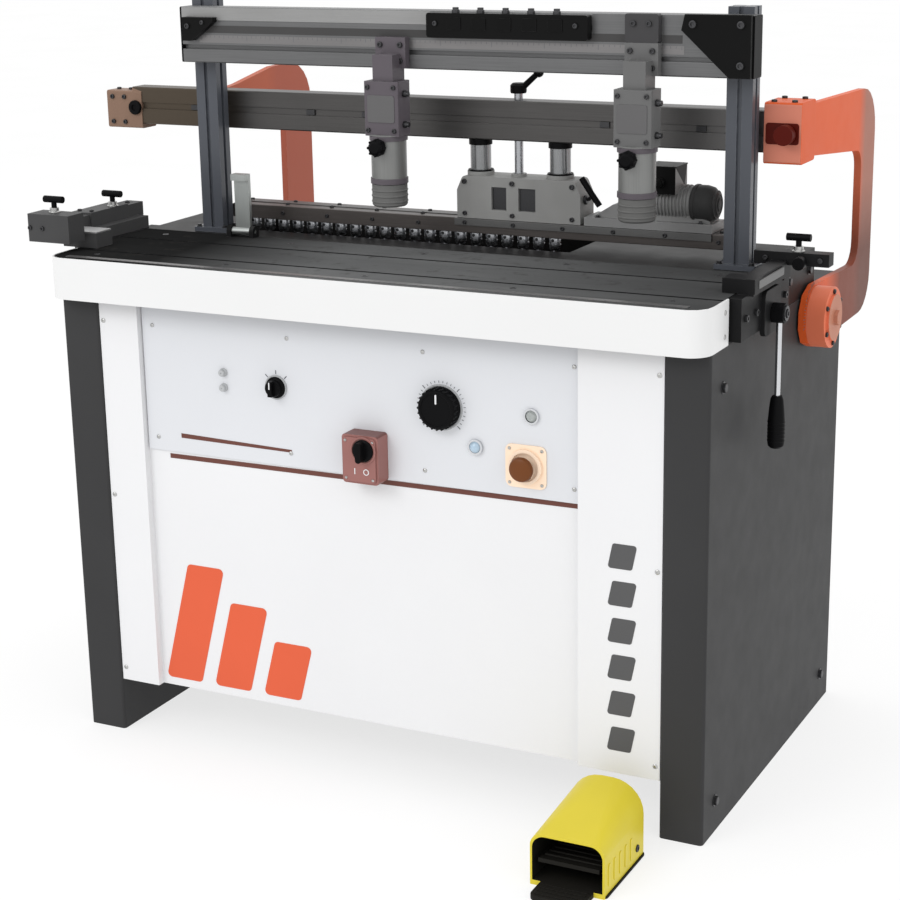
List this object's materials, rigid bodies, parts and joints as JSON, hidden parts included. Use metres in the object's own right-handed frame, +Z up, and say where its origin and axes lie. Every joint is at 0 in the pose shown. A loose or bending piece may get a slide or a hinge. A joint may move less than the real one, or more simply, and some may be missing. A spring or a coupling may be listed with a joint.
{
  "type": "multi-spindle boring machine",
  "caption": "Bench-height boring machine: tilting head with a row of spindles, fence stops, clamps on a beam, controls on the front and a foot pedal.",
  "frame": {"origin": "middle of the bounding box, on the floor", "axes": "+X to the operator's right, +Y from the operator towards the back of the machine, +Z up"},
  "size_m": [1.501, 1.226, 1.376],
  "materials": {
    "casing_grey": "fine textured dark grey powder coat",
    "sheet_white": "satin white powder coat",
    "panel_pale": "satin pale blue-grey",
    "table_grey": "ground grey, satin",
    "bed_dark": "semi-matte black",
    "frame_orange": "satin orange powder coat",
    "bar_dark": "dark anodised",
    "beam_alu": "grey anodised",
    "post_steel": "blue-black satin",
    "presser_metal": "satin grey",
    "foot_rubber": "grey rubber cup on a steel rod",
    "black_plastic": "moulded black",
    "switch_red": "moulded red",
    "stop_orange": "moulded red-brown",
    "column_steel": "ground and polished",
    "spindle_steel": "turned steel",
    "head_cast": "cast grey",
    "block_dark": "dark anodised",
    "motor_dark": "dark enamel",
    "stop_black": "semi-matte black",
    "flip_zinc": "bright satin",
    "pedal_yellow": "moulded yellow",
    "treadle_black": "ribbed black"
  },
  "bodies": {
    "stand": {"side_casing_left": "casing_grey", "side_casing_right": "casing_grey", "front_panel": "sheet_white", "control_panel": "panel_pale", "rear_panel": "casing_grey", "main_switch_box": "switch_red", "table_front_rail": "sheet_white", "table_top": "table_grey", "table_rear_bed": "bed_dark", "end_stop_right": "stop_black", "end_stop_left": "stop_black", "gantry_post_left": "post_steel", "gantry_post_right": "post_steel", "gantry_beam": "beam_alu", "pedal_cover": "pedal_yellow"},
    "tilt_frame": {"tilt_arm_right": "frame_orange", "tilt_arm_left": "frame_orange", "pivot_hub_right": "frame_orange", "pivot_hub_left": "frame_orange", "crossbar": "bar_dark", "guide_column_left": "column_steel", "guide_column_right": "column_steel"},
    "boring_head": {"head_carriage": "head_cast", "spindle_block": "block_dark", "spindle_motor": "motor_dark"},
    "depth_stop": {"depth_stop_screw": "black_plastic"},
    "presser_left": {"presser_left_body": "presser_metal"},
    "presser_left_plunger": {"presser_left_rod": "foot_rubber"},
    "presser_left_lock": {"presser_left_knob": "black_plastic"},
    "presser_right": {"presser_right_body": "presser_metal"},
    "presser_right_plunger": {"presser_right_rod": "foot_rubber"},
    "presser_right_lock": {"presser_right_knob": "black_plastic"},
    "flip_stop": {"flip_stop": "flip_zinc"},
    "lock_lever": {"tilt_lock_lever": "black_plastic"},
    "selector": {"selector_knob": "black_plastic"},
    "switch_handle": {"main_switch_handle": "black_plastic"},
    "dial": {"regulator_dial": "black_plastic"},
    "stop": {"stop_button": "stop_orange"},
    "treadle": {"pedal_treadle": "treadle_black"},
    "spindle_01": {"spindle_01": "spindle_steel"},
    "spindle_02": {"spindle_02": "spindle_steel"},
    "spindle_03": {"spindle_03": "spindle_steel"},
    "spindle_04": {"spindle_04": "spindle_steel"},
    "spindle_05": {"spindle_05": "spindle_steel"},
    "spindle_06": {"spindle_06": "spindle_steel"},
    "spindle_07": {"spindle_07": "spindle_steel"},
    "spindle_08": {"spindle_08": "spindle_steel"},
    "spindle_09": {"spindle_09": "spindle_steel"},
    "spindle_10": {"spindle_10": "spindle_steel"},
    "spindle_11": {"spindle_11": "spindle_steel"},
    "spindle_12": {"spindle_12": "spindle_steel"},
    "spindle_13": {"spindle_13": "spindle_steel"},
    "spindle_14": {"spindle_14": "spindle_steel"},
    "spindle_15": {"spindle_15": "spindle_steel"},
    "spindle_16": {"spindle_16": "spindle_steel"},
    "spindle_17": {"spindle_17": "spindle_steel"},
    "spindle_18": {"spindle_18": "spindle_steel"},
    "spindle_19": {"spindle_19": "spindle_steel"},
    "spindle_20": {"spindle_20": "spindle_steel"},
    "spindle_21": {"spindle_21": "spindle_steel"}
  },
  "joints": [
    {"name": "head_tilt", "type": "hinge", "parent": "stand", "child": "tilt_frame", "pos_m": [0.0155, 0.182, 0.82], "axis": [-1, 0, 0], "range_deg": [0, 90]},
    {"name": "head_feed", "type": "slide", "parent": "tilt_frame", "child": "boring_head", "axis": [0, 0, 1], "range_m": [-0.01, 0.028]},
    {"name": "depth_stop_turn", "type": "hinge", "parent": "boring_head", "child": "depth_stop", "pos_m": [0.1395, 0.062, 1.213], "axis": [0, 0, 1], "range_deg": [-175, 175]},
    {"name": "spindle_01_spin", "type": "hinge", "parent": "boring_head", "child": "spindle_01", "pos_m": [-0.4295, 0.062, 0.945], "axis": [0, 0, 1], "continuous": true},
    {"name": "spindle_02_spin", "type": "hinge", "parent": "boring_head", "child": "spindle_02", "pos_m": [-0.3975, 0.062, 0.945], "axis": [0, 0, 1], "continuous": true},
    {"name": "spindle_03_spin", "type": "hinge", "parent": "boring_head", "child": "spindle_03", "pos_m": [-0.3655, 0.062, 0.945], "axis": [0, 0, 1], "continuous": true},
    {"name": "spindle_04_spin", "type": "hinge", "parent": "boring_head", "child": "spindle_04", "pos_m": [-0.3335, 0.062, 0.945], "axis": [0, 0, 1], "continuous": true},
    {"name": "spindle_05_spin", "type": "hinge", "parent": "boring_head", "child": "spindle_05", "pos_m": [-0.3015, 0.062, 0.945], "axis": [0, 0, 1], "continuous": true},
    {"name": "spindle_06_spin", "type": "hinge", "parent": "boring_head", "child": "spindle_06", "pos_m": [-0.2695, 0.062, 0.945], "axis": [0, 0, 1], "continuous": true},
    {"name": "spindle_07_spin", "type": "hinge", "parent": "boring_head", "child": "spindle_07", "pos_m": [-0.2375, 0.062, 0.945], "axis": [0, 0, 1], "continuous": true},
    {"name": "spindle_08_spin", "type": "hinge", "parent": "boring_head", "child": "spindle_08", "pos_m": [-0.2055, 0.062, 0.945], "axis": [0, 0, 1], "continuous": true},
    {"name": "spindle_09_spin", "type": "hinge", "parent": "boring_head", "child": "spindle_09", "pos_m": [-0.1735, 0.062, 0.945], "axis": [0, 0, 1], "continuous": true},
    {"name": "spindle_10_spin", "type": "hinge", "parent": "boring_head", "child": "spindle_10", "pos_m": [-0.1415, 0.062, 0.945], "axis": [0, 0, 1], "continuous": true},
    {"name": "spindle_11_spin", "type": "hinge", "parent": "boring_head", "child": "spindle_11", "pos_m": [-0.1095, 0.062, 0.945], "axis": [0, 0, 1], "continuous": true},
    {"name": "spindle_12_spin", "type": "hinge", "parent": "boring_head", "child": "spindle_12", "pos_m": [-0.0775, 0.062, 0.945], "axis": [0, 0, 1], "continuous": true},
    {"name": "spindle_13_spin", "type": "hinge", "parent": "boring_head", "child": "spindle_13", "pos_m": [-0.0455, 0.062, 0.945], "axis": [0, 0, 1], "continuous": true},
    {"name": "spindle_14_spin", "type": "hinge", "parent": "boring_head", "child": "spindle_14", "pos_m": [-0.0135, 0.062, 0.945], "axis": [0, 0, 1], "continuous": true},
    {"name": "spindle_15_spin", "type": "hinge", "parent": "boring_head", "child": "spindle_15", "pos_m": [0.0185, 0.062, 0.945], "axis": [0, 0, 1], "continuous": true},
    {"name": "spindle_16_spin", "type": "hinge", "parent": "boring_head", "child": "spindle_16", "pos_m": [0.0505, 0.062, 0.945], "axis": [0, 0, 1], "continuous": true},
    {"name": "spindle_17_spin", "type": "hinge", "parent": "boring_head", "child": "spindle_17", "pos_m": [0.0825, 0.062, 0.945], "axis": [0, 0, 1], "continuous": true},
    {"name": "spindle_18_spin", "type": "hinge", "parent": "boring_head", "child": "spindle_18", "pos_m": [0.1145, 0.062, 0.945], "axis": [0, 0, 1], "continuous": true},
    {"name": "spindle_19_spin", "type": "hinge", "parent": "boring_head", "child": "spindle_19", "pos_m": [0.1465, 0.062, 0.945], "axis": [0, 0, 1], "continuous": true},
    {"name": "spindle_20_spin", "type": "hinge", "parent": "boring_head", "child": "spindle_20", "pos_m": [0.1785, 0.062, 0.945], "axis": [0, 0, 1], "continuous": true},
    {"name": "spindle_21_spin", "type": "hinge", "parent": "boring_head", "child": "spindle_21", "pos_m": [0.2105, 0.062, 0.945], "axis": [0, 0, 1], "continuous": true},
    {"name": "presser_left_shift", "type": "slide", "parent": "stand", "child": "presser_left", "axis": [1, 0, 0], "range_m": [-0.29, 0.11]},
    {"name": "presser_left_press", "type": "slide", "parent": "presser_left", "child": "presser_left_plunger", "axis": [0, 0, -1], "range_m": [0, 0.084], "stiffness_N_per_m": 400, "springref_m": -0.05},
    {"name": "presser_left_lock_turn", "type": "hinge", "parent": "presser_left", "child": "presser_left_lock", "pos_m": [-0.0465, -0.125, 1.13], "axis": [0, -1, 0], "range_deg": [-170, 170]},
    {"name": "presser_right_shift", "type": "slide", "parent": "stand", "child": "presser_right", "axis": [1, 0, 0], "range_m": [-0.06, 0.02]},
    {"name": "presser_right_press", "type": "slide", "parent": "presser_right", "child": "presser_right_plunger", "axis": [0, 0, -1], "range_m": [0, 0.084], "stiffness_N_per_m": 400, "springref_m": -0.05},
    {"name": "presser_right_lock_turn", "type": "hinge", "parent": "presser_right", "child": "presser_right_lock", "pos_m": [0.4295, -0.125, 1.13], "axis": [0, -1, 0], "range_deg": [-170, 170]},
    {"name": "flip_stop_fold", "type": "hinge", "parent": "stand", "child": "flip_stop", "pos_m": [-0.3895, -0.051, 0.946], "axis": [1, 0, 0], "range_deg": [0, 84]},
    {"name": "tilt_lock_swing", "type": "hinge", "parent": "stand", "child": "lock_lever", "pos_m": [0.6855, -0.104, 0.885], "axis": [1, 0, 0], "range_deg": [-50, 45]},
    {"name": "selector_turn", "type": "hinge", "parent": "stand", "child": "selector", "pos_m": [-0.1695, -0.308, 0.721], "axis": [0, -1, 0], "range_deg": [-45, 45]},
    {"name": "main_switch_turn", "type": "hinge", "parent": "stand", "child": "switch_handle", "pos_m": [0.0265, -0.345, 0.636], "axis": [0, -1, 0], "range_deg": [-90, 0]},
    {"name": "regulator_turn", "type": "hinge", "parent": "stand", "child": "dial", "pos_m": [0.1595, -0.308, 0.718], "axis": [0, -1, 0], "range_deg": [-135, 135]},
    {"name": "stop_button_press", "type": "slide", "parent": "stand", "child": "stop", "axis": [0, 1, 0], "range_m": [0, 0.006], "stiffness_N_per_m": 600, "springref_m": -0.002},
    {"name": "treadle_press", "type": "hinge", "parent": "stand", "child": "treadle", "pos_m": [0.5025, -0.421, 0.026], "axis": [1, 0, 0], "range_deg": [0, 8], "stiffness_Nm_per_rad": 12, "springref_deg": -6.88}
  ],
  "couplings": [
    {"joint": "spindle_01_spin", "follows": "spindle_11_spin", "ratio": 1},
    {"joint": "spindle_02_spin", "follows": "spindle_11_spin", "ratio": -1},
    {"joint": "spindle_03_spin", "follows": "spindle_11_spin", "ratio": 1},
    {"joint": "spindle_04_spin", "follows": "spindle_11_spin", "ratio": -1},
    {"joint": "spindle_05_spin", "follows": "spindle_11_spin", "ratio": 1},
    {"joint": "spindle_06_spin", "follows": "spindle_11_spin", "ratio": -1},
    {"joint": "spindle_07_spin", "follows": "spindle_11_spin", "ratio": 1},
    {"joint": "spindle_08_spin", "follows": "spindle_11_spin", "ratio": -1},
    {"joint": "spindle_09_spin", "follows": "spindle_11_spin", "ratio": 1},
    {"joint": "spindle_10_spin", "follows": "spindle_11_spin", "ratio": -1},
    {"joint": "spindle_12_spin", "follows": "spindle_11_spin", "ratio": -1},
    {"joint": "spindle_13_spin", "follows": "spindle_11_spin", "ratio": 1},
    {"joint": "spindle_14_spin", "follows": "spindle_11_spin", "ratio": -1},
    {"joint": "spindle_15_spin", "follows": "spindle_11_spin", "ratio": 1},
    {"joint": "spindle_16_spin", "follows": "spindle_11_spin", "ratio": -1},
    {"joint": "spindle_17_spin", "follows": "spindle_11_spin", "ratio": 1},
    {"joint": "spindle_18_spin", "follows": "spindle_11_spin", "ratio": -1},
    {"joint": "spindle_19_spin", "follows": "spindle_11_spin", "ratio": 1},
    {"joint": "spindle_20_spin", "follows": "spindle_11_spin", "ratio": -1},
    {"joint": "spindle_21_spin", "follows": "spindle_11_spin", "ratio": 1}
  ]
}
